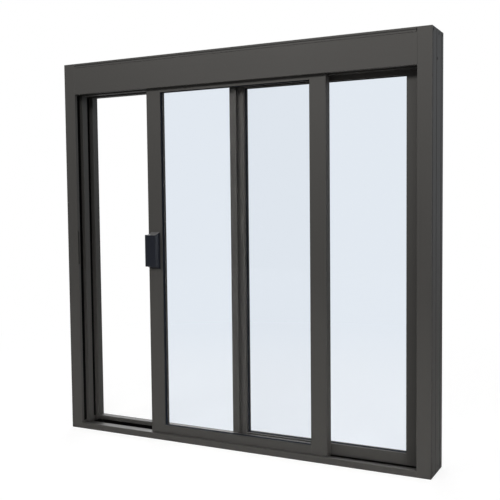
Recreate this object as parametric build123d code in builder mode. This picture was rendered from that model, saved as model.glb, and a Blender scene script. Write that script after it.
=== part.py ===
from build123d import *
import os

os.makedirs("parts", exist_ok=True)

# A sliding service window in dark bronze aluminium: a four-sided frame with a deep header, a sash that
# hangs from rollers inside the header and slides in the front track, and a fixed light in the rear track.
# Millimetres. X runs right, Y runs from the service side to the back, Z runs up from the sill's underside.

# Outer frame
frame_width = 1232.0
frame_height = 1219.2
jamb_width = 41.0
header_height = 100.0
sill_front_height = 19.5
sill_rear_height = 22.0
sill_floor_height = 8.0
frame_wall = 2.5
frame_edge_radius = 0.8

# Depth of the frame's lips, rib and tracks
front_lip_depth = 12.5
centre_rib_depth = 24.0
rear_lip_depth = 26.2
sash_thickness = 18.0
sash_side_clearance = 5.0
fixed_thickness = 30.0
sash_pocket_depth = 13.0
fixed_pocket_depth = 16.0

# Scored lines along the outer side of the jambs, from the front face
score_width = 4.0
score_depth = 1.2
score_stations = (6.0, 46.0, 96.0)

# Sunk seats for the frame screws in the outer side of the jambs: distance from the front face, height
screw_seat_radius = 4.5
screw_seat_depth = 1.6
screw_low = 15.0
screw_high = 1210.0
screw_middle = 1140.0
screw_seats = (
    (13.0, screw_high),
    (70.0, screw_high),
    (108.0, screw_high),
    (53.0, screw_middle),
    (13.0, screw_low),
    (77.0, screw_low),
    (108.0, screw_low),
)

# Header
header_web = 5.0
header_upstand = 13.0
header_seam = 0.8
header_end_relief = 2.0
cover_tongue_height = 6.0
cover_tongue_root = 8.0
fixed_head_pocket = 20.0

# Sliding sash
rest_opening = 272.5
lead_engagement = 5.5
closed_overhang = 7.0
lead_stile_width = 51.0
sash_meeting_width = 50.6
sash_top_rail_height = 39.6
sash_bottom_rail_height = 30.5
sash_head_entry = 27.0
sash_sill_clearance = 5.0
sash_wall = 2.2
sash_edge_radius = 0.8
bead_width = 9.0
bead_depth = 10.0

# Fixed light
fixed_meeting_left = -20.3
fixed_meeting_width = 42.8
fixed_side_width = 57.0
fixed_side_engagement = 10.0
fixed_top_rail_height = 34.2
fixed_bottom_rail_height = 34.0

# Glazing
glass_thickness = 6.0
gasket_thickness = 2.5
gasket_show = 1.5
glazing_bite = 9.0
glazing_groove_depth = 12.0

# Interlock between the two meeting stiles
interlock_leg = 2.5
sash_interlock_depth = 12.0
interlock_clearance = 5.0
fixed_flange_width = 22.5
interlock_overlap = 9.0
interlock_head_gap = 5.0
pile_width = 6.0
pile_gap = 0.5

# Rollers and track
roller_inset = 80.0
roller_radius = 13.0
roller_groove_depth = 3.0
roller_groove_floor = 2.4
roller_groove_mouth = 6.8
roller_width = 9.0
roller_seat_gap = 0.2
axle_radius = 4.0
axle_clearance = 0.05
axle_end = 1.0
track_height = 42.0
track_thickness = 3.0
track_flange_height = 24.0
track_reach = 12.0
track_bead_radius = 2.2
track_bead_inset = 3.0
track_bead_height = 4.2
hanger_length = 50.0
hanger_thickness = 3.0
hanger_inset = 1.5
hanger_head = 8.0

# Guide at the sill
guide_length = 60.0
guide_width = 8.0
guide_height = 14.0
guide_clearance = 1.0
guide_top_clearance = 3.0
guide_end_margin = 5.0

# Pull on the lead stile, and its strike in the left jamb
pull_height = 117.0
pull_taper = 9.0
pull_width = 40.3
pull_projection = 26.5
pull_inset = 2.7
pull_cap = 4.0
pull_finger_recess = 7.8
pull_edge_radius = 1.5
pull_centre_height = 607.5
strike_height = 110.0
strike_recess = 6.0
strike_width = 6.0
strike_setback = 2.0

# Seal strips in the left jamb's pockets, and strips in the sill's channel
seal_thickness = 2.0
seal_edge_gap = 2.0
liner_thickness = 1.5
liner_edge_gap = 1.5
liner_end_gap = 1.0
liner_width = 10.0

# Stations through the depth
sash_pocket = sash_thickness + 2 * sash_side_clearance
frame_depth = front_lip_depth + sash_pocket + centre_rib_depth + fixed_thickness + rear_lip_depth
y_front = -frame_depth / 2
y_pocket = y_front + front_lip_depth
y_rib = y_pocket + sash_pocket
y_fixed = y_rib + centre_rib_depth
y_rear_lip = y_fixed + fixed_thickness
y_back = y_rear_lip + rear_lip_depth
y_sash = y_pocket + sash_side_clearance
y_sash_back = y_sash + sash_thickness
y_sash_middle = y_sash + sash_thickness / 2
y_fixed_middle = y_fixed + fixed_thickness / 2

# Stations across the width and up the height
half_width = frame_width / 2
clear_half = half_width - jamb_width
clear_width = 2 * clear_half
z_header = frame_height - header_height
z_cover_top = frame_height - header_upstand - header_seam
x_sash = rest_opening - clear_half
x_closed = -clear_half - lead_engagement
x_fixed_glass_edge = fixed_meeting_left + fixed_meeting_width
sash_width = x_fixed_glass_edge + closed_overhang - x_closed
x_sash_right = x_sash + sash_width
z_sash = sill_floor_height + sash_sill_clearance
z_sash_top = z_header + sash_head_entry
sash_height = z_sash_top - z_sash
x_fixed_right = clear_half + fixed_side_engagement
z_fixed_top = z_header + fixed_head_pocket
fixed_height = z_fixed_top - sill_floor_height
glazing_groove = glass_thickness + 2 * gasket_thickness


def outline(points, mode=Mode.ADD):
    """Fill a closed outline of straight edges in the sketch that is open."""
    Polygon(*points, align=None, mode=mode)


def box_between(low, high, mode=Mode.ADD):
    """A block given by its two opposite corners."""
    size = [b - a for a, b in zip(low, high)]
    with Locations(tuple(low)):
        Box(*size, align=(Align.MIN, Align.MIN, Align.MIN), mode=mode)


def save(builder, name):
    """Label a finished piece and write it as its own file."""
    builder.part.label = name
    export_step(builder.part, f"parts/{name}.step")


def score(side):
    """Cut the scored lines into the outer side of the jamb sketch that is open."""
    for station in score_stations:
        with Locations((side * (half_width - score_depth / 2), y_front + station)):
            Rectangle(score_depth, score_width, mode=Mode.SUBTRACT)


def sink_screws(side):
    """Sink the screw seats into the outer side of the jamb that is open."""
    x_seat = side * (half_width - screw_seat_depth / 2)
    for station, height in screw_seats:
        with Locations((x_seat, y_front + station, height)):
            Cylinder(screw_seat_radius, screw_seat_depth, rotation=(0, 90, 0), mode=Mode.SUBTRACT)


def jamb_points(side):
    """Outline of a jamb: two pockets open towards the window, between a lip, a rib and a rear lip."""
    depths = [
        (0, y_front),
        (jamb_width, y_front),
        (jamb_width, y_pocket),
        (jamb_width - sash_pocket_depth, y_pocket),
        (jamb_width - sash_pocket_depth, y_rib),
        (jamb_width, y_rib),
        (jamb_width, y_fixed),
        (jamb_width - fixed_pocket_depth, y_fixed),
        (jamb_width - fixed_pocket_depth, y_rear_lip),
        (jamb_width, y_rear_lip),
        (jamb_width, y_back),
        (0, y_back),
    ]
    return [(side * (half_width - d), y) for d, y in depths]


# Left jamb, a hollow extrusion with the strike slot in its front lip
with BuildPart() as left_jamb:
    with BuildSketch() as left_profile:
        outline(jamb_points(-1))
        offset(amount=-frame_wall, kind=Kind.INTERSECTION, mode=Mode.SUBTRACT)
        fillet(left_profile.face().outer_wire().vertices(), frame_edge_radius)
        score(-1)
    extrude(amount=frame_height)
    z_strike = pull_centre_height + pull_taper / 2 - strike_height / 2
    box_between(
        (-clear_half - strike_recess, y_front + strike_setback, z_strike),
        (-clear_half, y_front + strike_setback + strike_width, z_strike + strike_height),
        mode=Mode.SUBTRACT,
    )
    sink_screws(-1)
save(left_jamb, "left_jamb")

# Right jamb, the same extrusion turned over
with BuildPart() as right_jamb:
    with BuildSketch() as right_profile:
        outline(jamb_points(1))
        offset(amount=-frame_wall, kind=Kind.INTERSECTION, mode=Mode.SUBTRACT)
        fillet(right_profile.face().outer_wire().vertices(), frame_edge_radius)
        score(1)
    extrude(amount=frame_height)
    sink_screws(1)
save(right_jamb, "right_jamb")

# Sill, a shallow hollow channel between the jambs
with BuildPart() as sill:
    with BuildSketch(Plane.YZ.offset(-clear_half)) as sill_profile:
        outline([
            (y_front, 0),
            (y_back, 0),
            (y_back, sill_rear_height),
            (y_rear_lip, sill_rear_height),
            (y_rear_lip, sill_floor_height),
            (y_pocket, sill_floor_height),
            (y_pocket, sill_front_height),
            (y_front, sill_front_height),
        ])
        offset(amount=-frame_wall, kind=Kind.INTERSECTION, mode=Mode.SUBTRACT)
        lip_corners = sill_profile.vertices().filter_by(lambda corner: corner.Y > sill_floor_height)
        fillet(lip_corners, frame_edge_radius)
    extrude(amount=clear_width)
save(sill, "sill")

# Header, a box at the back with the fixed light's pocket under it, and an open roller chamber in front
with BuildPart() as header:
    with BuildSketch(Plane.YZ.offset(-clear_half)):
        outline([
            (y_front, frame_height),
            (y_back, frame_height),
            (y_back, z_header),
            (y_rear_lip, z_header),
            (y_rear_lip, z_fixed_top),
            (y_fixed, z_fixed_top),
            (y_fixed, z_header),
            (y_rib, z_header),
            (y_rib, frame_height - header_web),
            (y_front + frame_wall, frame_height - header_web),
            (y_front + frame_wall, frame_height - header_upstand),
            (y_front, frame_height - header_upstand),
        ])
        outline(
            [
                (y_rib + frame_wall, z_header + frame_wall),
                (y_fixed - frame_wall, z_header + frame_wall),
                (y_fixed - frame_wall, z_fixed_top + frame_wall),
                (y_rear_lip + frame_wall, z_fixed_top + frame_wall),
                (y_rear_lip + frame_wall, z_header + frame_wall),
                (y_back - frame_wall, z_header + frame_wall),
                (y_back - frame_wall, frame_height - header_web),
                (y_rib + frame_wall, frame_height - header_web),
            ],
            mode=Mode.SUBTRACT,
        )
    extrude(amount=clear_width)
    box_between(
        (clear_half - header_end_relief, y_front, frame_height - header_upstand),
        (clear_half, y_front + frame_wall, frame_height - frame_wall),
        mode=Mode.SUBTRACT,
    )
save(header, "header")

# Header cover, which clips behind the header's upstand and closes the roller chamber
with BuildPart() as header_cover:
    with BuildSketch(Plane.YZ.offset(-clear_half)) as cover_profile:
        outline([
            (y_front, z_header),
            (y_pocket, z_header),
            (y_pocket, z_header + frame_wall),
            (y_front + frame_wall, z_header + frame_wall),
            (y_front + frame_wall, z_cover_top - cover_tongue_root),
            (y_front + 2 * frame_wall, z_cover_top - cover_tongue_root),
            (y_front + 2 * frame_wall, z_cover_top + header_seam + cover_tongue_height),
            (y_front + frame_wall, z_cover_top + header_seam + cover_tongue_height),
            (y_front + frame_wall, z_cover_top),
            (y_front, z_cover_top),
        ])
        low_front = cover_profile.vertices().sort_by(Axis.Y)[:2].sort_by(Axis.X)[0]
        fillet(low_front, frame_edge_radius)
    extrude(amount=clear_width)
save(header_cover, "header_cover")

# Roller track on the front wall of the header's box, with a round bead for the wheels
z_track = z_header + track_height
z_ledge = z_track + track_thickness
y_bead = y_rib - track_reach + track_bead_inset
z_bead = z_ledge + track_bead_height - track_bead_radius
with BuildPart() as roller_track:
    with BuildSketch(Plane.YZ.offset(-clear_half)):
        outline([
            (y_rib, z_track),
            (y_rib, z_track + track_flange_height),
            (y_rib - track_thickness, z_track + track_flange_height),
            (y_rib - track_thickness, z_ledge),
            (y_rib - track_reach, z_ledge),
            (y_rib - track_reach, z_track),
        ])
        with Locations((y_bead, (z_ledge + z_bead) / 2)):
            Rectangle(2 * track_bead_radius, z_bead - z_ledge)
        with Locations((y_bead, z_bead)):
            Circle(track_bead_radius)
    extrude(amount=clear_width)
save(roller_track, "roller_track")

# Seal strips on the floors of the left jamb's two pockets: the sash closes on the front one
x_pocket_floor = -clear_half - sash_pocket_depth
with BuildPart() as closing_seal:
    box_between(
        (x_pocket_floor, y_pocket + seal_edge_gap, sill_front_height),
        (x_pocket_floor + seal_thickness, y_rib - seal_edge_gap, z_header),
    )
save(closing_seal, "closing_seal")

x_rear_pocket_floor = -clear_half - fixed_pocket_depth
with BuildPart() as rear_pocket_seal:
    box_between(
        (x_rear_pocket_floor, y_fixed + seal_edge_gap, sill_rear_height),
        (x_rear_pocket_floor + seal_thickness, y_rear_lip - seal_edge_gap, z_header),
    )
save(rear_pocket_seal, "rear_pocket_seal")

# Strips in the sill's channel: one in the empty half of the rear track, one in front of the fixed light
z_liner = sill_floor_height + liner_thickness
with BuildPart() as rear_sill_strip:
    box_between(
        (-clear_half + liner_end_gap, y_fixed, sill_floor_height),
        (fixed_meeting_left - liner_end_gap, y_rear_lip - liner_edge_gap, z_liner),
    )
save(rear_sill_strip, "rear_sill_strip")

x_flange_end = fixed_meeting_left + fixed_flange_width
with BuildPart() as front_sill_strip:
    box_between(
        (x_flange_end + liner_end_gap, y_fixed - liner_edge_gap - liner_width, sill_floor_height),
        (clear_half - liner_end_gap, y_fixed - liner_edge_gap, z_liner),
    )
save(front_sill_strip, "front_sill_strip")

# Nylon guide on the sill, under the meeting line, that keeps the hanging sash upright
x_guide = x_fixed_glass_edge + closed_overhang - guide_end_margin - guide_length
with BuildPart() as sill_guide:
    box_between(
        (x_guide, y_sash_middle - guide_width / 2, sill_floor_height),
        (x_guide + guide_length, y_sash_middle + guide_width / 2, sill_floor_height + guide_height),
    )
save(sill_guide, "sill_guide")


def stile(x_edge, width, y_face, thickness, glass_side):
    """Section of a stile: a hollow tube with a glazing groove on its glass side."""
    x_low = x_edge if glass_side > 0 else x_edge - width
    x_glass = x_edge + glass_side * width
    x_groove = x_glass - glass_side * glazing_groove_depth
    y_middle = y_face + thickness / 2
    x_wall = x_edge + glass_side * sash_wall
    x_chamber = x_groove - glass_side * sash_wall
    with Locations((x_low + width / 2, y_middle)):
        Rectangle(width, thickness)
    with Locations(((x_glass + x_groove) / 2, y_middle)):
        Rectangle(glazing_groove_depth, glazing_groove, mode=Mode.SUBTRACT)
    with Locations(((x_wall + x_chamber) / 2, y_middle)):
        Rectangle(abs(x_chamber - x_wall), thickness - 2 * sash_wall, mode=Mode.SUBTRACT)


def rail(z_edge, height, y_face, thickness, glass_side):
    """Section of a rail: a bar with a glazing groove on its glass side."""
    z_low = z_edge if glass_side > 0 else z_edge - height
    z_glass = z_edge + glass_side * height
    y_middle = y_face + thickness / 2
    with Locations((y_middle, z_low + height / 2)):
        Rectangle(thickness, height)
    with Locations((y_middle, z_glass - glass_side * glazing_groove_depth / 2)):
        Rectangle(glazing_groove, glazing_groove_depth, mode=Mode.SUBTRACT)


def rail_chamber(z_edge, height, y_face, thickness, glass_side):
    """Hollow out the rail sketch that is open, between its outer wall and its glazing groove."""
    z_wall = z_edge + glass_side * sash_wall
    z_chamber = z_edge + glass_side * (height - glazing_groove_depth - sash_wall)
    with Locations((y_face + thickness / 2, (z_wall + z_chamber) / 2)):
        Rectangle(thickness - 2 * sash_wall, abs(z_chamber - z_wall), mode=Mode.SUBTRACT)


def pane(low, high, y_middle):
    """A sheet of glass whose edges reach into the glazing grooves round a clear opening."""
    box_between(
        (low[0] - glazing_bite, y_middle - glass_thickness / 2, low[1] - glazing_bite),
        (high[0] + glazing_bite, y_middle + glass_thickness / 2, high[1] + glazing_bite),
    )


def gasket_ring(low, high, y_face):
    """A glazing gasket that runs round a clear opening, between the glass and the groove's wall."""
    box_between(
        (low[0] - glazing_bite, y_face, low[1] - glazing_bite),
        (high[0] + glazing_bite, y_face + gasket_thickness, high[1] + glazing_bite),
    )
    box_between(
        (low[0] + gasket_show, y_face, low[1] + gasket_show),
        (high[0] - gasket_show, y_face + gasket_thickness, high[1] - gasket_show),
        mode=Mode.SUBTRACT,
    )


# Slot under the sash's stiles and bottom rail that rides over the sill guide
guide_slot_width = guide_width + 2 * guide_clearance
guide_slot_top = sill_floor_height + guide_height + guide_top_clearance
guide_slot_low = (x_sash, y_sash_middle - guide_slot_width / 2, z_sash)
guide_slot_high = (x_sash_right, y_sash_middle + guide_slot_width / 2, guide_slot_top)

# Clear opening of the sash, between its stiles and rails
sash_low = (x_sash + lead_stile_width, z_sash + sash_bottom_rail_height)
sash_high = (x_sash_right - sash_meeting_width, z_sash_top - sash_top_rail_height)

# Glazing bead round the back of the sash's opening, part of each stile and rail
y_bead_front = y_sash_back - sash_edge_radius
y_bead_back = y_sash_back + bead_depth
bead_low = sash_low[1] - bead_width
bead_high = sash_high[1] + bead_width

# Lead stile, which carries the pull
with BuildPart() as sash_lead_stile:
    with BuildSketch(Plane.XY.offset(z_sash)) as lead_profile:
        stile(x_sash, lead_stile_width, y_sash, sash_thickness, 1)
        fillet(lead_profile.face().outer_wire().vertices(), sash_edge_radius)
    extrude(amount=sash_height)
    box_between(guide_slot_low, guide_slot_high, mode=Mode.SUBTRACT)
    box_between((sash_low[0] - bead_width, y_bead_front, bead_low), (sash_low[0], y_bead_back, bead_high))
save(sash_lead_stile, "sash_lead_stile")

# Meeting stile of the sash, with an interlock leg that turns in behind it
interlock_tip_width = (
    x_fixed_glass_edge + closed_overhang - fixed_meeting_left - fixed_flange_width + interlock_overlap
)
y_sash_tip = y_sash_back + sash_interlock_depth - interlock_leg
z_interlock_top = z_header - interlock_head_gap
with BuildPart() as sash_meeting_stile:
    with BuildSketch(Plane.XY.offset(z_sash)) as sash_meeting_profile:
        stile(x_sash_right, sash_meeting_width, y_sash, sash_thickness, -1)
        fillet(sash_meeting_profile.face().outer_wire().vertices(), sash_edge_radius)
    extrude(amount=sash_height)
    box_between(guide_slot_low, guide_slot_high, mode=Mode.SUBTRACT)
    box_between((sash_high[0], y_bead_front, bead_low), (sash_high[0] + bead_width, y_bead_back, bead_high))
    box_between(
        (x_sash_right - interlock_leg, y_sash_back - sash_wall, z_sash),
        (x_sash_right, y_sash_tip + interlock_leg, z_interlock_top),
    )
    box_between(
        (x_sash_right - interlock_tip_width, y_sash_tip, z_sash),
        (x_sash_right, y_sash_tip + interlock_leg, z_interlock_top),
    )
save(sash_meeting_stile, "sash_meeting_stile")

# Pile strip on the back of the sash's interlock leg
y_fixed_flange = y_sash_tip + interlock_leg + interlock_clearance
with BuildPart() as interlock_pile:
    box_between(
        (x_sash_right - interlock_tip_width, y_sash_tip + interlock_leg, z_sash),
        (x_sash_right - interlock_tip_width + pile_width, y_fixed_flange - pile_gap, z_interlock_top),
    )
save(interlock_pile, "interlock_pile")

# Top rail of the sash, whose upper half runs inside the header
with BuildPart() as sash_top_rail:
    with BuildSketch(Plane.YZ.offset(sash_low[0])):
        rail(z_sash_top, sash_top_rail_height, y_sash, sash_thickness, -1)
        rail_chamber(z_sash_top, sash_top_rail_height, y_sash, sash_thickness, -1)
    extrude(amount=sash_high[0] - sash_low[0])
    box_between((sash_low[0], y_bead_front, sash_high[1]), (sash_high[0], y_bead_back, bead_high))
save(sash_top_rail, "sash_top_rail")

# Bottom rail of the sash, slotted underneath for the sill guide
with BuildPart() as sash_bottom_rail:
    with BuildSketch(Plane.YZ.offset(sash_low[0])):
        rail(z_sash, sash_bottom_rail_height, y_sash, sash_thickness, 1)
    extrude(amount=sash_high[0] - sash_low[0])
    box_between(guide_slot_low, guide_slot_high, mode=Mode.SUBTRACT)
    box_between((sash_low[0], y_bead_front, bead_low), (sash_high[0], y_bead_back, sash_low[1]))
save(sash_bottom_rail, "sash_bottom_rail")

# Glass of the sash and the gaskets on its two faces
with BuildPart() as sash_glass:
    pane(sash_low, sash_high, y_sash_middle)
save(sash_glass, "sash_glass")

with BuildPart() as sash_front_gasket:
    gasket_ring(sash_low, sash_high, y_sash_middle - glass_thickness / 2 - gasket_thickness)
save(sash_front_gasket, "sash_front_gasket")

with BuildPart() as sash_rear_gasket:
    gasket_ring(sash_low, sash_high, y_sash_middle + glass_thickness / 2)
save(sash_rear_gasket, "sash_rear_gasket")

# Pull: a tapered block whose front plate overhangs on the opening side as a finger grip
x_pull = x_sash + pull_inset
y_pull = y_sash - pull_projection
z_pull_low = pull_centre_height - pull_height / 2
z_pull_high = pull_centre_height + pull_height / 2
with BuildPart() as sash_pull:
    with BuildSketch(Plane.YZ.offset(x_pull)):
        outline([
            (y_sash, z_pull_low),
            (y_sash, z_pull_high),
            (y_pull, z_pull_high - pull_taper),
            (y_pull, z_pull_low + pull_taper),
        ])
    extrude(amount=pull_width)
    front_face = sash_pull.faces().sort_by(Axis.Y)[0]
    fillet(front_face.edges(), pull_edge_radius)
    box_between(
        (x_pull, y_pull + pull_cap, z_pull_low),
        (x_pull + pull_finger_recess, y_sash, z_pull_high),
        mode=Mode.SUBTRACT,
    )
save(sash_pull, "sash_pull")

# Two roller hangers on the sash's top rail: a foot, an upright plate and an axle, each with a grooved wheel
roller_seat = roller_radius - roller_groove_depth
z_axle = z_bead + track_bead_radius + roller_seat_gap + roller_seat
y_hanger = y_sash + hanger_inset
y_plate_back = y_hanger + hanger_thickness
y_axle_end = y_bead + roller_width / 2 + axle_end
for side, x_roller in (("left", x_sash + roller_inset), ("right", x_sash_right - roller_inset)):
    with BuildPart() as hanger:
        box_between(
            (x_roller - hanger_length / 2, y_hanger, z_sash_top),
            (x_roller + hanger_length / 2, y_sash_back - hanger_inset, z_sash_top + hanger_thickness),
        )
        box_between(
            (x_roller - hanger_length / 2, y_hanger, z_sash_top),
            (x_roller + hanger_length / 2, y_plate_back, z_axle + hanger_head),
        )
        with BuildSketch(Plane.XZ.offset(-y_plate_back)):
            with Locations((x_roller, z_axle)):
                Circle(axle_radius)
        extrude(amount=-(y_axle_end - y_plate_back))
    save(hanger, f"{side}_hanger")

    with BuildPart() as roller:
        with BuildSketch(Plane.YZ.offset(x_roller)):
            outline([
                (y_bead - roller_width / 2, z_axle + axle_radius + axle_clearance),
                (y_bead - roller_width / 2, z_axle + roller_radius),
                (y_bead - roller_groove_mouth / 2, z_axle + roller_radius),
                (y_bead - roller_groove_floor / 2, z_axle + roller_seat),
                (y_bead + roller_groove_floor / 2, z_axle + roller_seat),
                (y_bead + roller_groove_mouth / 2, z_axle + roller_radius),
                (y_bead + roller_width / 2, z_axle + roller_radius),
                (y_bead + roller_width / 2, z_axle + axle_radius + axle_clearance),
            ])
        revolve(axis=Axis((x_roller, y_bead, z_axle), (0, 1, 0)))
    save(roller, f"{side}_roller")

# Clear opening of the fixed light, between its stiles and rails
x_fixed_side = x_fixed_right - fixed_side_width
fixed_low = (x_fixed_glass_edge, sill_floor_height + fixed_bottom_rail_height)
fixed_high = (x_fixed_side, z_fixed_top - fixed_top_rail_height)

# Meeting stile of the fixed light, with an interlock leg and flange in front of it
with BuildPart() as fixed_meeting_stile:
    with BuildSketch(Plane.XY.offset(sill_floor_height)) as fixed_meeting_profile:
        stile(fixed_meeting_left, fixed_meeting_width, y_fixed, fixed_thickness, 1)
        fillet(fixed_meeting_profile.face().outer_wire().vertices(), sash_edge_radius)
    extrude(amount=fixed_height)
    box_between(
        (fixed_meeting_left, y_fixed_flange, sill_floor_height),
        (fixed_meeting_left + interlock_leg, y_fixed + sash_wall, z_header),
    )
    box_between(
        (fixed_meeting_left, y_fixed_flange, sill_floor_height),
        (fixed_meeting_left + fixed_flange_width, y_fixed_flange + interlock_leg, z_header),
    )
save(fixed_meeting_stile, "fixed_meeting_stile")

# Side stile of the fixed light, housed in the right jamb's rear pocket
with BuildPart() as fixed_side_stile:
    with BuildSketch(Plane.XY.offset(sill_floor_height)) as fixed_side_profile:
        stile(x_fixed_right, fixed_side_width, y_fixed, fixed_thickness, -1)
        fillet(fixed_side_profile.face().outer_wire().vertices(), sash_edge_radius)
    extrude(amount=fixed_height)
save(fixed_side_stile, "fixed_side_stile")

# Rails of the fixed light
with BuildPart() as fixed_top_rail:
    with BuildSketch(Plane.YZ.offset(fixed_low[0])):
        rail(z_fixed_top, fixed_top_rail_height, y_fixed, fixed_thickness, -1)
        rail_chamber(z_fixed_top, fixed_top_rail_height, y_fixed, fixed_thickness, -1)
    extrude(amount=fixed_high[0] - fixed_low[0])
save(fixed_top_rail, "fixed_top_rail")

with BuildPart() as fixed_bottom_rail:
    with BuildSketch(Plane.YZ.offset(fixed_low[0])):
        rail(sill_floor_height, fixed_bottom_rail_height, y_fixed, fixed_thickness, 1)
        rail_chamber(sill_floor_height, fixed_bottom_rail_height, y_fixed, fixed_thickness, 1)
    extrude(amount=fixed_high[0] - fixed_low[0])
save(fixed_bottom_rail, "fixed_bottom_rail")

# Glass of the fixed light and the gaskets on its two faces
with BuildPart() as fixed_glass:
    pane(fixed_low, fixed_high, y_fixed_middle)
save(fixed_glass, "fixed_glass")

with BuildPart() as fixed_front_gasket:
    gasket_ring(fixed_low, fixed_high, y_fixed_middle - glass_thickness / 2 - gasket_thickness)
save(fixed_front_gasket, "fixed_front_gasket")

with BuildPart() as fixed_rear_gasket:
    gasket_ring(fixed_low, fixed_high, y_fixed_middle + glass_thickness / 2)
save(fixed_rear_gasket, "fixed_rear_gasket")

print("sash travel to closed", x_closed - x_sash, "to open", clear_half - sash_side_clearance - x_sash_right)
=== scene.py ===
# %% [markdown]
# # A sliding service window
# The real object is a window of dark bronze anodised aluminium, the kind that a counter is served through.
# A frame with a deep header holds two glazed leaves: one is fixed at the back, the other hangs from rollers
# and slides in front of it. The solid pieces arrive ready made, at their true size, as a fixed frame. This
# lesson gives them their finishes, adds the small fasteners, and sets up a plain studio to look at them in.

# %% Load the fixed frame
import bpy
import math
from mathutils import Matrix, Vector


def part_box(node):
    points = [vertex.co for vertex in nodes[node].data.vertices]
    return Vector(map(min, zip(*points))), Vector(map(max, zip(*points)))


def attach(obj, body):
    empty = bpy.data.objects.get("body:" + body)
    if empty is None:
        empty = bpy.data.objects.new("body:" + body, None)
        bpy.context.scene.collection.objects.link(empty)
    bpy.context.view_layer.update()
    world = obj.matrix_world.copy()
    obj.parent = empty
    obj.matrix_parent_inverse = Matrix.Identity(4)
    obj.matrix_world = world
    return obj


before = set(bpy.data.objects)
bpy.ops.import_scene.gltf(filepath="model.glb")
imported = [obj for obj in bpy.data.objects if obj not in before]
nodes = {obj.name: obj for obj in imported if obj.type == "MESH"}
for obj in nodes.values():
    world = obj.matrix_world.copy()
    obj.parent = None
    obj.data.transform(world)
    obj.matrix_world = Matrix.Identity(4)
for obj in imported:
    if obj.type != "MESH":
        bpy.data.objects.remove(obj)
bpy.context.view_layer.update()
scene = bpy.context.scene
scene.view_settings.view_transform = "Standard"
print("pieces in the frame:", len(nodes))

# %% [markdown]
# ## Camera
# The photograph was taken from the right of the window, a little above its middle. A camera can be placed by
# eye, but here its position, direction and focal length come from fitting the window's straight outer edges,
# so that the render lines up with the picture edge for edge.

# %% Camera at the photograph's viewpoint
PICTURE_SIZE = 500.0
FOCAL_PIXELS = 802.47
SENSOR_WIDTH = 36.0
FARTHEST = 50.0
EYE = Vector((1.1564, -2.1869, 0.7587))
LOOK = Vector((-0.45382, 0.88910, -0.05957))
SIDEWAYS = Vector((0.89084, 0.45413, -0.01028))


def make_camera():
    data = bpy.data.cameras.new("studio_camera")
    data.sensor_width = SENSOR_WIDTH
    data.lens = FOCAL_PIXELS / PICTURE_SIZE * SENSOR_WIDTH
    data.clip_end = FARTHEST
    camera = bpy.data.objects.new("studio_camera", data)
    back = -LOOK.normalized()
    right = SIDEWAYS.normalized()
    up = back.cross(right)
    turn = Matrix((right, up, back)).transposed()
    camera.matrix_world = Matrix.Translation(EYE) @ turn.to_4x4()
    scene.collection.objects.link(camera)
    scene.camera = camera
    return camera


camera = make_camera()
print("lens in millimetres:", round(camera.data.lens, 2))

# %% [markdown]
# ## Studio
# A picture of a dark window needs a bright, even surround: metal shows what it mirrors, and glass shows what
# is behind it. A plain white world would do, but it would light the bronze far too strongly. So this world
# answers each kind of ray by itself, with the Light Path node: white to the eye, pale blue to what looks
# through a pane, grey to what the metal mirrors, paler on the right, and a soft glow as a light. On a real
# camera a polarising filter takes the glare off a pane, and here a factor for mirror-sharp rays does.

# %% Node helpers
def new_material(name):
    material = bpy.data.materials.new(name)
    material.use_nodes = True
    tree = material.node_tree
    tree.nodes.clear()
    out = tree.nodes.new("ShaderNodeOutputMaterial")
    return material, tree, out


def link(tree, source, target):
    tree.links.new(source, target)


def math_node(tree, operation, first, second):
    node = tree.nodes.new("ShaderNodeMath")
    node.operation = operation
    for socket, value in zip(node.inputs, (first, second)):
        if hasattr(value, "is_linked"):
            tree.links.new(value, socket)
        else:
            socket.default_value = value
    return node.outputs[0]


# %% Kinds of ray
FILTERED = 0.97
HALF_BOUNCE = 0.5


def seen_directly(tree, path):
    """One for rays that reach the eye straight or through glass, and have not bounced off anything."""
    bounces = math_node(tree, "ADD", path.outputs["Diffuse Depth"], path.outputs["Glossy Depth"])
    return math_node(tree, "LESS_THAN", bounces, HALF_BOUNCE)


def mirrored_directly(tree, path):
    """One for rays that come off a shiny surface and have not bounced off a matt one."""
    unscattered = math_node(tree, "LESS_THAN", path.outputs["Diffuse Depth"], HALF_BOUNCE)
    shiny = math_node(tree, "GREATER_THAN", path.outputs["Glossy Depth"], HALF_BOUNCE)
    return math_node(tree, "MULTIPLY", shiny, unscattered)


def pane_glint(tree, path):
    """One for mirror-sharp reflections, the ones off a pane, which a polarising filter takes away."""
    passed_by = math_node(tree, "SUBTRACT", 1.0, path.outputs["Is Transmission Ray"])
    sharp = math_node(tree, "MULTIPLY", path.outputs["Is Singular Ray"], passed_by)
    return math_node(tree, "MULTIPLY", sharp, FILTERED)


# %% Colours: a blend, a soft step and the backdrop's tint
WHITE = (1.0, 1.0, 1.0, 1.0)
THROUGH_GLASS = (0.79, 0.844, 0.908, 1.0)


def blend(tree, factor, first, second):
    """Mix two colours, each a fixed one or the output of a node."""
    node = tree.nodes.new("ShaderNodeMix")
    node.data_type = "RGBA"
    link(tree, factor, node.inputs["Factor"])
    for name, colour in (("A", first), ("B", second)):
        if hasattr(colour, "is_linked"):
            link(tree, colour, node.inputs[name])
        else:
            node.inputs[name].default_value = colour
    return node.outputs["Result"]


def smooth_step(tree, value, start, end):
    """Nought before the start, one after the end, and a soft rise between."""
    node = tree.nodes.new("ShaderNodeMapRange")
    node.interpolation_type = "SMOOTHSTEP"
    node.inputs["From Min"].default_value = start
    node.inputs["From Max"].default_value = end
    link(tree, value, node.inputs["Value"])
    return node.outputs[0]


def backdrop_tint(tree, path):
    """White to the eye, pale blue through a pane."""
    return blend(tree, path.outputs["Is Transmission Ray"], WHITE, THROUGH_GLASS)


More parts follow.
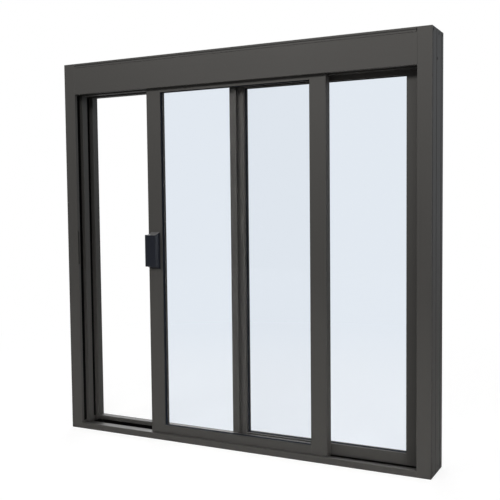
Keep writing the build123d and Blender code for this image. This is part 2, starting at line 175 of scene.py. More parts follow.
# %% World: white to look at, softer as a light
AMBIENT_FRONT = (0.34, 0.33, 0.32, 1.0)
AMBIENT_BACK = (0.25, 0.25, 0.26, 1.0)
REFLECTED_FRONT = (0.10, 0.10, 0.10, 1.0)
REFLECTED_BACK = (0.30, 0.315, 0.345, 1.0)
REFLECTED_RIGHT = (0.86, 0.94, 1.0, 1.0)
RIGHT_START = 0.4
RIGHT_END = 0.95


def make_world():
    world = bpy.data.worlds.new("studio")
    world.use_nodes = True
    tree = world.node_tree
    tree.nodes.clear()
    out = tree.nodes.new("ShaderNodeOutputWorld")
    where = tree.nodes.new("ShaderNodeTexCoord")
    split = tree.nodes.new("ShaderNodeSeparateXYZ")
    link(tree, where.outputs["Generated"], split.inputs[0])
    half = math_node(tree, "MULTIPLY", split.outputs["Y"], 0.5)
    behind = math_node(tree, "ADD", half, 0.5)
    path = tree.nodes.new("ShaderNodeLightPath")
    seen = seen_directly(tree, path)
    ambient = tree.nodes.new("ShaderNodeBackground")
    link(tree, blend(tree, behind, AMBIENT_FRONT, AMBIENT_BACK), ambient.inputs["Color"])
    mirrored = tree.nodes.new("ShaderNodeBackground")
    around = blend(tree, behind, REFLECTED_FRONT, REFLECTED_BACK)
    right = smooth_step(tree, split.outputs["X"], RIGHT_START, RIGHT_END)
    link(tree, blend(tree, right, around, REFLECTED_RIGHT), mirrored.inputs["Color"])
    white = tree.nodes.new("ShaderNodeBackground")
    link(tree, backdrop_tint(tree, path), white.inputs["Color"])
    light_or_mirror = tree.nodes.new("ShaderNodeMixShader")
    link(tree, mirrored_directly(tree, path), light_or_mirror.inputs[0])
    link(tree, ambient.outputs[0], light_or_mirror.inputs[1])
    link(tree, mirrored.outputs[0], light_or_mirror.inputs[2])
    mix = tree.nodes.new("ShaderNodeMixShader")
    link(tree, seen, mix.inputs[0])
    link(tree, light_or_mirror.outputs[0], mix.inputs[1])
    link(tree, white.outputs[0], mix.inputs[2])
    dark = tree.nodes.new("ShaderNodeBackground")
    dark.inputs["Strength"].default_value = 0.0
    filtered = tree.nodes.new("ShaderNodeMixShader")
    link(tree, pane_glint(tree, path), filtered.inputs[0])
    link(tree, mix.outputs[0], filtered.inputs[1])
    link(tree, dark.outputs[0], filtered.inputs[2])
    link(tree, filtered.outputs[0], out.inputs["Surface"])
    scene.world = world
    return world


studio_world = make_world()
print("world:", studio_world.name, "with", len(studio_world.node_tree.nodes), "nodes")

# %% [markdown]
# ## Floor
# A studio floor is a roll of pale paper that curves up behind the object, so that no horizon shows. A curved
# sheet could be modelled, but a flat one whose colour fades to the world's white looks right from every side.
# Near the window the paper stays matt, and keeps the soft shadow where the sill meets it.

# %% Floor
FLOOR_HALF = 6.0
FLOOR_TONE = (0.3, 0.3, 0.3, 1.0)
BLACK = (0.0, 0.0, 0.0, 1.0)
FLOOR_LIFT = 0.79
SWEEP_START = 0.6
SWEEP_END = 2.6


def make_floor():
    mesh = bpy.data.meshes.new("floor")
    signs = [(-1, -1), (1, -1), (1, 1), (-1, 1)]
    corners = [(x * FLOOR_HALF, y * FLOOR_HALF, 0.0) for x, y in signs]
    mesh.from_pydata(corners, [], [(0, 1, 2, 3)])
    floor = bpy.data.objects.new("floor", mesh)
    scene.collection.objects.link(floor)
    material, tree, out = new_material("floor_paper")
    paper = tree.nodes.new("ShaderNodeBsdfDiffuse")
    paper.inputs["Color"].default_value = FLOOR_TONE
    lift = tree.nodes.new("ShaderNodeEmission")
    path = tree.nodes.new("ShaderNodeLightPath")
    link(tree, backdrop_tint(tree, path), lift.inputs["Color"])
    seen = seen_directly(tree, path)
    link(tree, math_node(tree, "MULTIPLY", seen, FLOOR_LIFT), lift.inputs["Strength"])
    near = tree.nodes.new("ShaderNodeAddShader")
    link(tree, paper.outputs[0], near.inputs[0])
    link(tree, lift.outputs[0], near.inputs[1])
    sweep = tree.nodes.new("ShaderNodeEmission")
    link(tree, backdrop_tint(tree, path), sweep.inputs["Color"])
    where = tree.nodes.new("ShaderNodeTexCoord")
    reach = tree.nodes.new("ShaderNodeVectorMath")
    reach.operation = "LENGTH"
    link(tree, where.outputs["Object"], reach.inputs[0])
    fade = smooth_step(tree, reach.outputs["Value"], SWEEP_START, SWEEP_END)
    both = tree.nodes.new("ShaderNodeMixShader")
    link(tree, math_node(tree, "MULTIPLY", seen, fade), both.inputs[0])
    link(tree, near.outputs[0], both.inputs[1])
    link(tree, sweep.outputs[0], both.inputs[2])
    dark = tree.nodes.new("ShaderNodeBsdfDiffuse")
    dark.inputs["Color"].default_value = BLACK
    filtered = tree.nodes.new("ShaderNodeMixShader")
    link(tree, pane_glint(tree, path), filtered.inputs[0])
    link(tree, both.outputs[0], filtered.inputs[1])
    link(tree, dark.outputs[0], filtered.inputs[2])
    link(tree, filtered.outputs[0], out.inputs["Surface"])
    mesh.materials.append(material)
    return floor


floor = make_floor()
print("floor:", 2 * FLOOR_HALF, "metres square")

# %% [markdown]
# ## Lamps
# Two soft boxes high in front give the bars their gradients. A low strip reaches the sill's front, a fill on
# the right lights the jamb's outer side and the pockets, and a box behind lights the back. Point lamps would
# give hard edges, so each is a broad rectangle. A pane could mirror a lamp into the eye, so the boxes hang
# high and the two fills are kept out of mirrored rays.

# %% Lamps
WINDOW_MIDDLE = (0.0, 0.0, 0.6)
SILL_FRONT = (-0.4, 0.0, 0.02)
HALF_TURN = 180.0
NARROW_BEAM = 18.0


def make_lamp(name, place, size, watts, target=WINDOW_MIDDLE, spread=HALF_TURN, mirrored=True):
    """A broad rectangle of light. Places and sizes are in metres, the spread in degrees."""
    data = bpy.data.lights.new(name, "AREA")
    data.shape = "RECTANGLE"
    data.size, data.size_y = size
    data.energy = watts
    data.spread = math.radians(spread)
    lamp = bpy.data.objects.new(name, data)
    lamp.location = place
    aim = Vector(target) - Vector(place)
    lamp.rotation_euler = aim.to_track_quat("-Z", "Y").to_euler()
    lamp.visible_camera = False
    lamp.visible_transmission = False
    lamp.visible_glossy = mirrored
    scene.collection.objects.link(lamp)


make_lamp("front_soft_box", place=(2.6, -6.5, 3.8), size=(5.0, 1.6), watts=268.0)
make_lamp("left_soft_box", place=(-3.2, -6.5, 3.5), size=(2.0, 1.0), watts=110.0)
make_lamp("low_fill", place=(2.2, -3.4, 0.3), size=(2.4, 0.3), watts=3.3,
          target=SILL_FRONT, spread=NARROW_BEAM, mirrored=False)
make_lamp("right_fill", place=(5.5, -2.5, 1.6), size=(2.0, 2.0), watts=28.0, mirrored=False)
make_lamp("back_soft_box", place=(-3.0, 6.0, 3.0), size=(4.0, 2.0), watts=170.0)

# %% [markdown]
# ## Bronze anodised aluminium
# Every bar of the frame is an extrusion, pushed through a steel die and then anodised dark bronze. The die
# leaves faint lines along the bar, and the bath leaves a slightly uneven tone. Both could be painted, but a
# noise stretched along the bar's own direction does it for any length. The effect is a node group, because
# uprights and cross bars share it with the lines turned.

# %% Shared effect: lines along an extrusion and a cloudy tone
LINE_DETAIL = 3.0
CLOUD_DETAIL = 2.0
NOISE_MIDDLE = 0.5


def make_extrusion_group():
    group = bpy.data.node_groups.new("extrusion_lines", "ShaderNodeTree")
    for name, kind in (("Line Scale", "NodeSocketVector"), ("Line Depth", "NodeSocketFloat"),
                       ("Cloud Scale", "NodeSocketFloat"), ("Cloud Depth", "NodeSocketFloat")):
        group.interface.new_socket(name, in_out="INPUT", socket_type=kind)
    for name in ("Tone", "Roughness Shift", "Height"):
        group.interface.new_socket(name, in_out="OUTPUT", socket_type="NodeSocketFloat")
    given = group.nodes.new("NodeGroupInput")
    result = group.nodes.new("NodeGroupOutput")
    where = group.nodes.new("ShaderNodeTexCoord")
    stretch = group.nodes.new("ShaderNodeVectorMath")
    stretch.operation = "MULTIPLY"
    link(group, where.outputs["Object"], stretch.inputs[0])
    link(group, given.outputs["Line Scale"], stretch.inputs[1])
    lines = group.nodes.new("ShaderNodeTexNoise")
    lines.inputs["Scale"].default_value = 1.0
    lines.inputs["Detail"].default_value = LINE_DETAIL
    link(group, stretch.outputs[0], lines.inputs["Vector"])
    cloud = group.nodes.new("ShaderNodeTexNoise")
    cloud.inputs["Detail"].default_value = CLOUD_DETAIL
    link(group, where.outputs["Object"], cloud.inputs["Vector"])
    link(group, given.outputs["Cloud Scale"], cloud.inputs["Scale"])
    line_swing = math_node(group, "SUBTRACT", lines.outputs["Fac"], NOISE_MIDDLE)
    line_part = math_node(group, "MULTIPLY", line_swing, given.outputs["Line Depth"])
    cloud_swing = math_node(group, "SUBTRACT", cloud.outputs["Fac"], NOISE_MIDDLE)
    cloud_part = math_node(group, "MULTIPLY", cloud_swing, given.outputs["Cloud Depth"])
    swing = math_node(group, "ADD", line_part, cloud_part)
    tone = math_node(group, "ADD", swing, 1.0)
    link(group, tone, result.inputs["Tone"])
    link(group, swing, result.inputs["Roughness Shift"])
    link(group, lines.outputs["Fac"], result.inputs["Height"])
    return group


extrusion_lines = make_extrusion_group()
print("shared effect:", extrusion_lines.name)

# %% [markdown]
# ## Painted highlight on what faces up
# The tops of the sill, the rails and the pull are painted paler than their fronts on dark anodising and black
# paint: a painted highlight for the light that falls on them from above. It could be a painted mask, but the
# direction that a surface faces already says where it goes. A noise breaks it up. Several finishes use it, so
# it is a node group.

# %% Shared effect: a mask of painted highlight on what faces up
# The paler colour of the painted highlight on surfaces that face up.
TOP_HIGHLIGHT = (0.2, 0.2, 0.2, 1.0)
HIGHLIGHT_PATCHES = 40.0
PATCH_DETAIL = 4.0
SLOPE_NO_HIGHLIGHT = 0.6
SLOPE_FULL_HIGHLIGHT = 0.98


def make_top_highlight_group():
    group = bpy.data.node_groups.new("top_highlight", "ShaderNodeTree")
    for name in ("Amount", "Patch Scale"):
        group.interface.new_socket(name, in_out="INPUT", socket_type="NodeSocketFloat")
    group.interface.new_socket("Mask", in_out="OUTPUT", socket_type="NodeSocketFloat")
    given = group.nodes.new("NodeGroupInput")
    result = group.nodes.new("NodeGroupOutput")
    facing = group.nodes.new("ShaderNodeNewGeometry")
    split = group.nodes.new("ShaderNodeSeparateXYZ")
    link(group, facing.outputs["Normal"], split.inputs[0])
    level = group.nodes.new("ShaderNodeMapRange")
    level.inputs["From Min"].default_value = SLOPE_NO_HIGHLIGHT
    level.inputs["From Max"].default_value = SLOPE_FULL_HIGHLIGHT
    link(group, split.outputs["Z"], level.inputs["Value"])
    where = group.nodes.new("ShaderNodeTexCoord")
    patches = group.nodes.new("ShaderNodeTexNoise")
    patches.inputs["Detail"].default_value = PATCH_DETAIL
    link(group, where.outputs["Object"], patches.inputs["Vector"])
    link(group, given.outputs["Patch Scale"], patches.inputs["Scale"])
    uneven = math_node(group, "ADD", patches.outputs["Fac"], NOISE_MIDDLE)
    lit_from_above = math_node(group, "MULTIPLY", level.outputs[0], uneven)
    mask = math_node(group, "MULTIPLY", lit_from_above, given.outputs["Amount"])
    link(group, mask, result.inputs["Mask"])
    return group


top_highlight = make_top_highlight_group()


def add_top_highlight(tree, colour, amount):
    """Paint a paler highlight over a colour that a material has already made, and give back the lightened
    colour.
    """
    painted_highlight = tree.nodes.new("ShaderNodeGroup")
    painted_highlight.node_tree = top_highlight
    painted_highlight.inputs["Amount"].default_value = amount
    painted_highlight.inputs["Patch Scale"].default_value = HIGHLIGHT_PATCHES
    return blend(tree, painted_highlight.outputs["Mask"], colour, TOP_HIGHLIGHT)


print("shared effect:", top_highlight.name)

# %% [markdown]
# ## Painted shade along seams and scored lines
# The header's cover meets the header in a thin seam, and each jamb has three scored lines down its outer
# side. All of these are real grooves in the solids. Shade is painted into them and a little to each side, so
# they read darker than the metal around them, as the shadow of their edges does. It could be painted by hand,
# but the place of each groove is known, so a mask measures how far a point is from its middle line. Header
# and jambs both use it, so it is a node group.

# %% Shared effect: a mask of painted shade along one straight line
# The colour of the painted shade along seams and scored lines.
LINE_SHADE_COLOUR = (0.012, 0.0115, 0.011, 1.0)
LINE_SHADE_COVER = 0.85
LINE_SHADE_SOLID = 0.4


def make_line_shade_group():
    group = bpy.data.node_groups.new("line_shade", "ShaderNodeTree")
    for name in ("Across", "Place", "Half Width", "Outwards", "Outer Limit"):
        group.interface.new_socket(name, in_out="INPUT", socket_type="NodeSocketFloat")
    group.interface.new_socket("Mask", in_out="OUTPUT", socket_type="NodeSocketFloat")
    given = group.nodes.new("NodeGroupInput").outputs
    result = group.nodes.new("NodeGroupOutput")
    offset = math_node(group, "SUBTRACT", given["Across"], given["Place"])
    distance = math_node(group, "ABSOLUTE", offset, 0.0)
    share = math_node(group, "DIVIDE", distance, given["Half Width"])
    unshaded = smooth_step(group, share, LINE_SHADE_SOLID, 1.0)
    shaded = math_node(group, "SUBTRACT", 1.0, unshaded)
    outside = math_node(group, "GREATER_THAN", given["Outwards"], given["Outer Limit"])
    link(group, math_node(group, "MULTIPLY", shaded, outside), result.inputs["Mask"])
    return group


line_shade = make_line_shade_group()


def outwards(tree, split, face):
    """A length that grows towards the window's front, or towards either of its sides."""
    if face == "front":
        return math_node(tree, "MULTIPLY", split.outputs["Y"], -1.0)
    return math_node(tree, "ABSOLUTE", split.outputs["X"], 0.0)


def add_line_shade(tree, colour, across, face, place, half_width, outer_limit):
    """Paint shade along one line on one face, darkening a colour. Across names an axis of the object's own
    coordinates.
    """
    where = tree.nodes.new("ShaderNodeTexCoord")
    split = tree.nodes.new("ShaderNodeSeparateXYZ")
    link(tree, where.outputs["Object"], split.inputs[0])
    line_shade_node = tree.nodes.new("ShaderNodeGroup")
    line_shade_node.node_tree = line_shade
    link(tree, split.outputs[across], line_shade_node.inputs["Across"])
    link(tree, outwards(tree, split, face), line_shade_node.inputs["Outwards"])
    line_shade_node.inputs["Place"].default_value = place
    line_shade_node.inputs["Half Width"].default_value = half_width
    line_shade_node.inputs["Outer Limit"].default_value = outer_limit
    cover = math_node(tree, "MULTIPLY", line_shade_node.outputs["Mask"], LINE_SHADE_COVER)
    return blend(tree, cover, colour, LINE_SHADE_COLOUR)


print("shared effect:", line_shade.name)

# %% [markdown]
# ## The bronze finishes
# An upright and a cross bar are the same metal with the die lines turned. Header and jambs have painted shade
# along their lines as well. Four separate materials could be built by hand, but one function makes all of
# them, so that they stay alike.

# %% Where the painted shade lies, measured from the pieces' boxes
SEAM_HALF_WIDTH = 0.0022
SEAM_GAP = 0.0008
SEAM_REACH = 0.005
SCORE_HALF_WIDTH = 0.0026
SCORE_STATIONS = (0.006, 0.046, 0.096)
SCORE_REACH = 0.002


def header_lines():
    """Each line: the axis across it, the face it is on, its place, its half width, where that face starts."""
    low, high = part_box("header_cover")
    outer_limit = -low[1] - SEAM_REACH
    return [("Z", "front", high[2] + SEAM_GAP / 2, SEAM_HALF_WIDTH, outer_limit)]


def jamb_lines():
    low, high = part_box("right_jamb")
    outer_limit = high[0] - SCORE_REACH
    return [("Y", "sides", low[1] + station, SCORE_HALF_WIDTH, outer_limit) for station in SCORE_STATIONS]


print("grime lines:", len(header_lines()), "on the header,", len(jamb_lines()), "on each jamb")

# %% Helpers for finishes: a toned colour and a bump
def toned(tree, colour, tone):
    """A fixed colour made lighter or darker by a value."""
    node = tree.nodes.new("ShaderNodeMix")
    node.data_type = "RGBA"
    node.blend_type = "MULTIPLY"
    node.inputs["Factor"].default_value = 1.0
    node.inputs["A"].default_value = colour
    link(tree, tone, node.inputs["B"])
    return node.outputs["Result"]


def bumped(tree, height, strength, distance):
    node = tree.nodes.new("ShaderNodeBump")
    node.inputs["Strength"].default_value = strength
    node.inputs["Distance"].default_value = distance
    link(tree, height, node.inputs["Height"])
    return node.outputs[0]


# %% Bronze for uprights, cross bars, header and jambs
BRONZE = (0.066, 0.0635, 0.0595, 1.0)
BRONZE_METALLIC = 0.4
BRONZE_SPECULAR = 0.3
BRONZE_ROUGHNESS = 0.48
# How strongly the bronze's up-facing surfaces are painted paler as a highlight.
BRONZE_TOP_HIGHLIGHT = 0.06
LINE_FINE = 900.0
LINE_ALONG = 1.5
LINE_DEPTH = 0.16
LINE_BUMP = 0.04
LINE_HEIGHT = 0.0004
CLOUD_SCALE = 3.0
CLOUD_DEPTH = 0.14


def make_bronze(name, line_scale, shaded_lines=()):
    material, tree, out = new_material(name)
    metal = tree.nodes.new("ShaderNodeBsdfPrincipled")
    metal.inputs["Metallic"].default_value = BRONZE_METALLIC
    metal.inputs["Specular IOR Level"].default_value = BRONZE_SPECULAR
    finish = tree.nodes.new("ShaderNodeGroup")
    finish.node_tree = extrusion_lines
    finish.inputs["Line Scale"].default_value = line_scale
    finish.inputs["Line Depth"].default_value = LINE_DEPTH
    finish.inputs["Cloud Scale"].default_value = CLOUD_SCALE
    finish.inputs["Cloud Depth"].default_value = CLOUD_DEPTH
    colour = toned(tree, BRONZE, finish.outputs["Tone"])
    # Painted highlight: the bar's up-facing surfaces are painted paler.
    colour = add_top_highlight(tree, colour, BRONZE_TOP_HIGHLIGHT)
    # Painted shade along the header's seam and the jambs' scored lines.
    for shaded_line in shaded_lines:
        colour = add_line_shade(tree, colour, *shaded_line)
    link(tree, colour, metal.inputs["Base Color"])
    rough = math_node(tree, "ADD", finish.outputs["Roughness Shift"], BRONZE_ROUGHNESS)
    link(tree, rough, metal.inputs["Roughness"])
    normal = bumped(tree, finish.outputs["Height"], LINE_BUMP, LINE_HEIGHT)
    link(tree, normal, metal.inputs["Normal"])
    link(tree, metal.outputs[0], out.inputs["Surface"])
    return material


UPRIGHT_LINES = (LINE_FINE, LINE_FINE, LINE_ALONG)
CROSS_LINES = (LINE_ALONG, LINE_FINE, LINE_FINE)
bronze_upright = make_bronze("bronze_upright", UPRIGHT_LINES)
bronze_cross = make_bronze("bronze_cross", CROSS_LINES)
# Header and jambs carry the painted shade along their lines.
bronze_header = make_bronze("bronze_header", CROSS_LINES, header_lines())
bronze_jamb = make_bronze("bronze_jamb", UPRIGHT_LINES, jamb_lines())
bronzes = (bronze_upright, bronze_cross, bronze_header, bronze_jamb)
print("bronze finishes:", [material.name for material in bronzes])

# %% [markdown]
# ## Glass, rubber, pile, nylon, steel and the pull's paint
# The panes are clear float glass, and their blue is the backdrop seen through them. They are real slabs with
# two faces, so a transmissive shader bends light as glass does. Such a shader throws a black shadow unless
# bent light is traced back to the lamp, which is slow, so a lamp's light meets a nearly clear sheet instead.
# The pane's own reflection is weakened, as a polarising filter would. The rubber is matt and nearly black.
# Small parts inside the header are zinc-plated steel, mill-finish aluminium and nylon.

# %% Glass
GLASS_TINT = (0.995, 0.997, 1.0, 1.0)
GLASS_IOR = 1.5
GLASS_SPECULAR = 0.08
GLASS_GLARE = (0.4, 0.4, 0.4, 1.0)
PANE_TO_LAMPS = (0.8, 0.8, 0.8, 1.0)


def make_glass():
    material, tree, out = new_material("clear_glass")
    glass = tree.nodes.new("ShaderNodeBsdfPrincipled")
    glass.inputs["Base Color"].default_value = GLASS_TINT
    glass.inputs["Roughness"].default_value = 0.0
    glass.inputs["IOR"].default_value = GLASS_IOR
    glass.inputs["Specular IOR Level"].default_value = GLASS_SPECULAR
    glass.inputs["Specular Tint"].default_value = GLASS_GLARE
    glass.inputs["Transmission Weight"].default_value = 1.0
    open_to_light = tree.nodes.new("ShaderNodeBsdfTransparent")
    open_to_light.inputs["Color"].default_value = PANE_TO_LAMPS
    path = tree.nodes.new("ShaderNodeLightPath")
    pane = tree.nodes.new("ShaderNodeMixShader")
    link(tree, path.outputs["Is Shadow Ray"], pane.inputs[0])
    link(tree, glass.outputs[0], pane.inputs[1])
    link(tree, open_to_light.outputs[0], pane.inputs[2])
    link(tree, pane.outputs[0], out.inputs["Surface"])
    return material


clear_glass = make_glass()
print("glass:", clear_glass.name)

# %% How a plain finish with a fine grain is made
GRAIN_DETAIL = 4.0
GRAIN_BUMP = 0.3
GRAIN_HEIGHT = 0.0002


def make_grained(name, colour, roughness, shine, grain_scale, grain_depth,
                 metallic=0.0, grain_height=GRAIN_HEIGHT, painted_highlight=0.0):
    material, tree, out = new_material(name)
    surface = tree.nodes.new("ShaderNodeBsdfPrincipled")
    surface.inputs["Metallic"].default_value = metallic
    surface.inputs["Specular IOR Level"].default_value = shine
    where = tree.nodes.new("ShaderNodeTexCoord")
    grain = tree.nodes.new("ShaderNodeTexNoise")
    grain.inputs["Scale"].default_value = grain_scale
    grain.inputs["Detail"].default_value = GRAIN_DETAIL
    link(tree, where.outputs["Object"], grain.inputs["Vector"])
    spread = tree.nodes.new("ShaderNodeMapRange")
    spread.inputs["To Min"].default_value = 1.0 - grain_depth
    spread.inputs["To Max"].default_value = 1.0 + grain_depth
    link(tree, grain.outputs["Fac"], spread.inputs["Value"])
    grained = toned(tree, colour, spread.outputs[0])
    # Painted highlight: up-facing surfaces are painted paler by the given amount.
    link(tree, add_top_highlight(tree, grained, painted_highlight), surface.inputs["Base Color"])
    rough = math_node(tree, "MULTIPLY", spread.outputs[0], roughness)
    link(tree, rough, surface.inputs["Roughness"])
    normal = bumped(tree, grain.outputs["Fac"], GRAIN_BUMP, grain_height)
    link(tree, normal, surface.inputs["Normal"])
    link(tree, surface.outputs[0], out.inputs["Surface"])
    return material


# %% Rubber, pile, nylon, steel, aluminium and paint
black_rubber = make_grained("black_rubber", (0.003, 0.003, 0.003, 1.0), roughness=0.9, shine=0.0,
                            grain_scale=900.0, grain_depth=0.15)
# The glazing rubber's tops get a faint painted highlight.
glazing_rubber = make_grained("glazing_rubber", (0.012, 0.015, 0.022, 1.0), roughness=0.7, shine=0.12,
                              grain_scale=900.0, grain_depth=0.12, painted_highlight=0.05)
grey_pile = make_grained("grey_pile", (0.02, 0.02, 0.021, 1.0), roughness=0.95, shine=0.2,
                         grain_scale=2500.0, grain_depth=0.5, grain_height=0.001)
nylon = make_grained("nylon", (0.06, 0.06, 0.062, 1.0), roughness=0.5, shine=0.5,
                     grain_scale=700.0, grain_depth=0.08)
zinc_steel = make_grained("zinc_steel", (0.45, 0.45, 0.46, 1.0), roughness=0.38, shine=0.5,
                          grain_scale=400.0, grain_depth=0.12, metallic=1.0)
mill_aluminium = make_grained("mill_aluminium", (0.55, 0.55, 0.56, 1.0), roughness=0.34, shine=0.5,
                              grain_scale=300.0, grain_depth=0.1, metallic=1.0)
# The pull's top is painted much paler, a painted highlight on its upper face.
pull_paint = make_grained("pull_paint", (0.008, 0.0095, 0.0145, 1.0), roughness=0.2, shine=0.5,
                          grain_scale=1600.0, grain_depth=0.1, grain_height=0.00005, painted_highlight=0.78)
print("finishes so far:", [material.name for material in bpy.data.materials])

# %% [markdown]
# ## Finishes on their pieces
# The die lines run along each bar, so uprights and cross bars take different bronzes. Finishes could be given
# piece by piece in the editor, but a table of names keeps them together, and shows a piece that was left out.

# %% Each piece of the frame takes its finish
FINISH = {
    "left_jamb": bronze_jamb,
    "right_jamb": bronze_jamb,
    "header": bronze_header,
    "header_cover": bronze_header,
    "sill": bronze_cross,
    "sash_lead_stile": bronze_upright,
    "sash_meeting_stile": bronze_upright,
    "sash_top_rail": bronze_cross,
    "sash_bottom_rail": bronze_cross,
    "fixed_meeting_stile": bronze_upright,
    "fixed_side_stile": bronze_upright,
    "fixed_top_rail": bronze_cross,
    "fixed_bottom_rail": bronze_cross,
    "sash_glass": clear_glass,
    "fixed_glass": clear_glass,
    "sash_front_gasket": glazing_rubber,
    "sash_rear_gasket": glazing_rubber,
    "fixed_front_gasket": glazing_rubber,
    "fixed_rear_gasket": glazing_rubber,
    "closing_seal": black_rubber,
    "rear_pocket_seal": black_rubber,
    "rear_sill_strip": black_rubber,
    "front_sill_strip": black_rubber,
    "interlock_pile": grey_pile,
    "sill_guide": nylon,
    "left_roller": nylon,
    "right_roller": nylon,
    "left_hanger": zinc_steel,
    "right_hanger": zinc_steel,
    "roller_track": mill_aluminium,
    "sash_pull": pull_paint,
}
for name, material in FINISH.items():
    piece = nodes[name].data
    piece.materials.clear()
    piece.materials.append(material)
print("finished pieces:", len(FINISH), "left out:", sorted(set(nodes) - set(FINISH)))

# %% [markdown]
# ## Frame screws
# The corners of the frame are pulled together by short screws, whose heads lie sunk in round seats in the
# outer side of each jamb. Fourteen copies of one head could be placed by a loop, but a node tree keeps the
# head's sizes as named inputs and turns each head by a seeded random angle, as a driver leaves them. The tree
# is read once and the result kept as a plain mesh.

# %% Where the seats are
SEAT_DEPTH = 0.0016
SEAT_HIGH = 1.210
SEAT_MIDDLE = 1.140
SEAT_LOW = 0.015
SEATS = (
    (0.013, SEAT_HIGH), (0.070, SEAT_HIGH), (0.108, SEAT_HIGH), (0.053, SEAT_MIDDLE),
    (0.013, SEAT_LOW), (0.077, SEAT_LOW), (0.108, SEAT_LOW),
)


def seat_points():
    points = []
    for jamb, side in (("left_jamb", -1), ("right_jamb", 1)):
        low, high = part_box(jamb)
        outer = low[0] if side < 0 else high[0]
        for station, height in SEATS:
            points.append((outer - side * SEAT_DEPTH, low[1] + station, height))
    return points


print("screw seats:", len(seat_points()))

# %% Small helpers for the tree
def straight_up(tree, height):
    """A vector along Z."""
    vector = tree.nodes.new("ShaderNodeCombineXYZ")
    link(tree, height, vector.inputs["Z"])
    return vector.outputs[0]


def moved(tree, mesh, shift):
    node = tree.nodes.new("GeometryNodeTransform")
    link(tree, mesh, node.inputs["Geometry"])
    link(tree, shift, node.inputs["Translation"])
    return node


# %% One head: a short rim, a dome on it and two crossed slots
HEAD_SEGMENTS = 32
DOME_RINGS = 16
DOME_SHARE = 0.999


def round_head(tree, given):
    half_height = math_node(tree, "MULTIPLY", given["Head Height"], 0.5)
    rim = tree.nodes.new("GeometryNodeMeshCylinder")
    rim.inputs["Vertices"].default_value = HEAD_SEGMENTS
    link(tree, given["Head Radius"], rim.inputs["Radius"])
    link(tree, half_height, rim.inputs["Depth"])
    rim_middle = math_node(tree, "MULTIPLY", half_height, 0.5)
    rim_up = moved(tree, rim.outputs["Mesh"], straight_up(tree, rim_middle))
    dome = tree.nodes.new("GeometryNodeMeshUVSphere")
    dome.inputs["Segments"].default_value = HEAD_SEGMENTS
    dome.inputs["Rings"].default_value = DOME_RINGS
    dome.inputs["Radius"].default_value = 1.0
    dome_radius = math_node(tree, "MULTIPLY", given["Head Radius"], DOME_SHARE)
    dome_size = tree.nodes.new("ShaderNodeCombineXYZ")
    for way, length in (("X", dome_radius), ("Y", dome_radius), ("Z", half_height)):
        link(tree, length, dome_size.inputs[way])
    dome_up = moved(tree, dome.outputs["Mesh"], straight_up(tree, half_height))
    link(tree, dome_size.outputs[0], dome_up.inputs["Scale"])
    head = tree.nodes.new("GeometryNodeMeshBoolean")
    head.operation = "UNION"
    link(tree, rim_up.outputs[0], head.inputs["Mesh 2"])
    link(tree, dome_up.outputs[0], head.inputs["Mesh 2"])
    return head.outputs["Mesh"]


def slotted(tree, given, head):
    cut = tree.nodes.new("GeometryNodeMeshBoolean")
    cut.operation = "DIFFERENCE"
    link(tree, head, cut.inputs["Mesh 1"])
    bar_height = math_node(tree, "MULTIPLY", given["Slot Depth"], 2.0)
    for long_way in ("X", "Y"):
        size = tree.nodes.new("ShaderNodeCombineXYZ")
        for way in ("X", "Y"):
            length = given["Slot Length"] if way == long_way else given["Slot Width"]
            link(tree, length, size.inputs[way])
        link(tree, bar_height, size.inputs["Z"])
        bar = tree.nodes.new("GeometryNodeMeshCube")
        link(tree, size.outputs[0], bar.inputs["Size"])
        bar_up = moved(tree, bar.outputs["Mesh"], straight_up(tree, given["Head Height"]))
        link(tree, bar_up.outputs[0], cut.inputs["Mesh 2"])
    return cut.outputs["Mesh"]


# %% A copy in each seat, facing outwards and turned by chance
TURN_SEED = 7
QUARTER_TURN = math.pi / 2


def set_in_seats(tree, given, head):
    place = tree.nodes.new("GeometryNodeInputPosition")
    split = tree.nodes.new("ShaderNodeSeparateXYZ")
    link(tree, place.outputs[0], split.inputs[0])
    side = math_node(tree, "SIGN", split.outputs["X"], 0.0)
    lean = tree.nodes.new("ShaderNodeCombineXYZ")
    link(tree, math_node(tree, "MULTIPLY", side, QUARTER_TURN), lean.inputs["Y"])
    copies = tree.nodes.new("GeometryNodeInstanceOnPoints")
    link(tree, given["Geometry"], copies.inputs["Points"])
    link(tree, head, copies.inputs["Instance"])
    link(tree, lean.outputs[0], copies.inputs["Rotation"])
    # Inputs 2 and 3 and output 1 of this node are its Min, Max and Value for plain numbers.
    turn = tree.nodes.new("FunctionNodeRandomValue")
    turn.inputs["Seed"].default_value = TURN_SEED
    turn.inputs[2].default_value = 0.0
    turn.inputs[3].default_value = QUARTER_TURN
    turned = tree.nodes.new("GeometryNodeRotateInstances")
    link(tree, copies.outputs[0], turned.inputs["Instances"])
    link(tree, straight_up(tree, turn.outputs[1]), turned.inputs["Rotation"])
    return turned.outputs[0]


# %% The whole tree, with the head's sizes as named inputs
HEAD_SIZES = {
    "Head Radius": 0.0041,
    "Head Height": 0.0014,
    "Slot Length": 0.0046,
    "Slot Width": 0.0010,
    "Slot Depth": 0.0009,
}


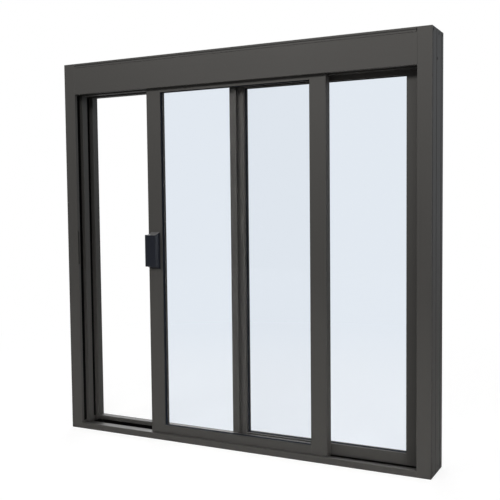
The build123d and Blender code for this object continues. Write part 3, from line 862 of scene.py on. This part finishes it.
def make_screw_tree(material):
    tree = bpy.data.node_groups.new("screw_heads", "GeometryNodeTree")
    tree.interface.new_socket("Geometry", in_out="INPUT", socket_type="NodeSocketGeometry")
    for name in HEAD_SIZES:
        tree.interface.new_socket(name, in_out="INPUT", socket_type="NodeSocketFloat")
    tree.interface.new_socket("Geometry", in_out="OUTPUT", socket_type="NodeSocketGeometry")
    given = tree.nodes.new("NodeGroupInput").outputs
    result = tree.nodes.new("NodeGroupOutput")
    head = slotted(tree, given, round_head(tree, given))
    real = tree.nodes.new("GeometryNodeRealizeInstances")
    link(tree, set_in_seats(tree, given, head), real.inputs[0])
    finish = tree.nodes.new("GeometryNodeSetMaterial")
    finish.inputs["Material"].default_value = material
    link(tree, real.outputs[0], finish.inputs["Geometry"])
    link(tree, finish.outputs[0], result.inputs["Geometry"])
    return tree


screw_black = make_grained("screw_black", (0.03, 0.029, 0.028, 1.0), roughness=0.45, shine=0.4,
                           grain_scale=900.0, grain_depth=0.1, metallic=0.6, grain_height=0.0001)
screw_tree = make_screw_tree(screw_black)
print("screw tree:", screw_tree.name, "with", len(screw_tree.nodes), "nodes")

# %% The heads as one plain mesh
def make_screws(tree):
    seats = bpy.data.meshes.new("screw_seats")
    seats.from_pydata(seat_points(), [], [])
    holder = bpy.data.objects.new("screw_seats", seats)
    scene.collection.objects.link(holder)
    nodes_on = holder.modifiers.new("screw_heads", "NODES")
    nodes_on.node_group = tree
    for socket in tree.interface.items_tree:
        if socket.in_out == "INPUT" and socket.name in HEAD_SIZES:
            nodes_on[socket.identifier] = HEAD_SIZES[socket.name]
    bpy.context.view_layer.update()
    evaluated = holder.evaluated_get(bpy.context.evaluated_depsgraph_get())
    mesh = bpy.data.meshes.new_from_object(evaluated)
    mesh.name = "frame_screws"
    holder.modifiers.remove(nodes_on)
    bpy.data.objects.remove(holder)
    screws = bpy.data.objects.new("frame_screws", mesh)
    scene.collection.objects.link(screws)
    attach(screws, "root")
    return screws


frame_screws = make_screws(screw_tree)
print("screw heads:", len(seat_points()), "faces:", len(frame_screws.data.polygons))
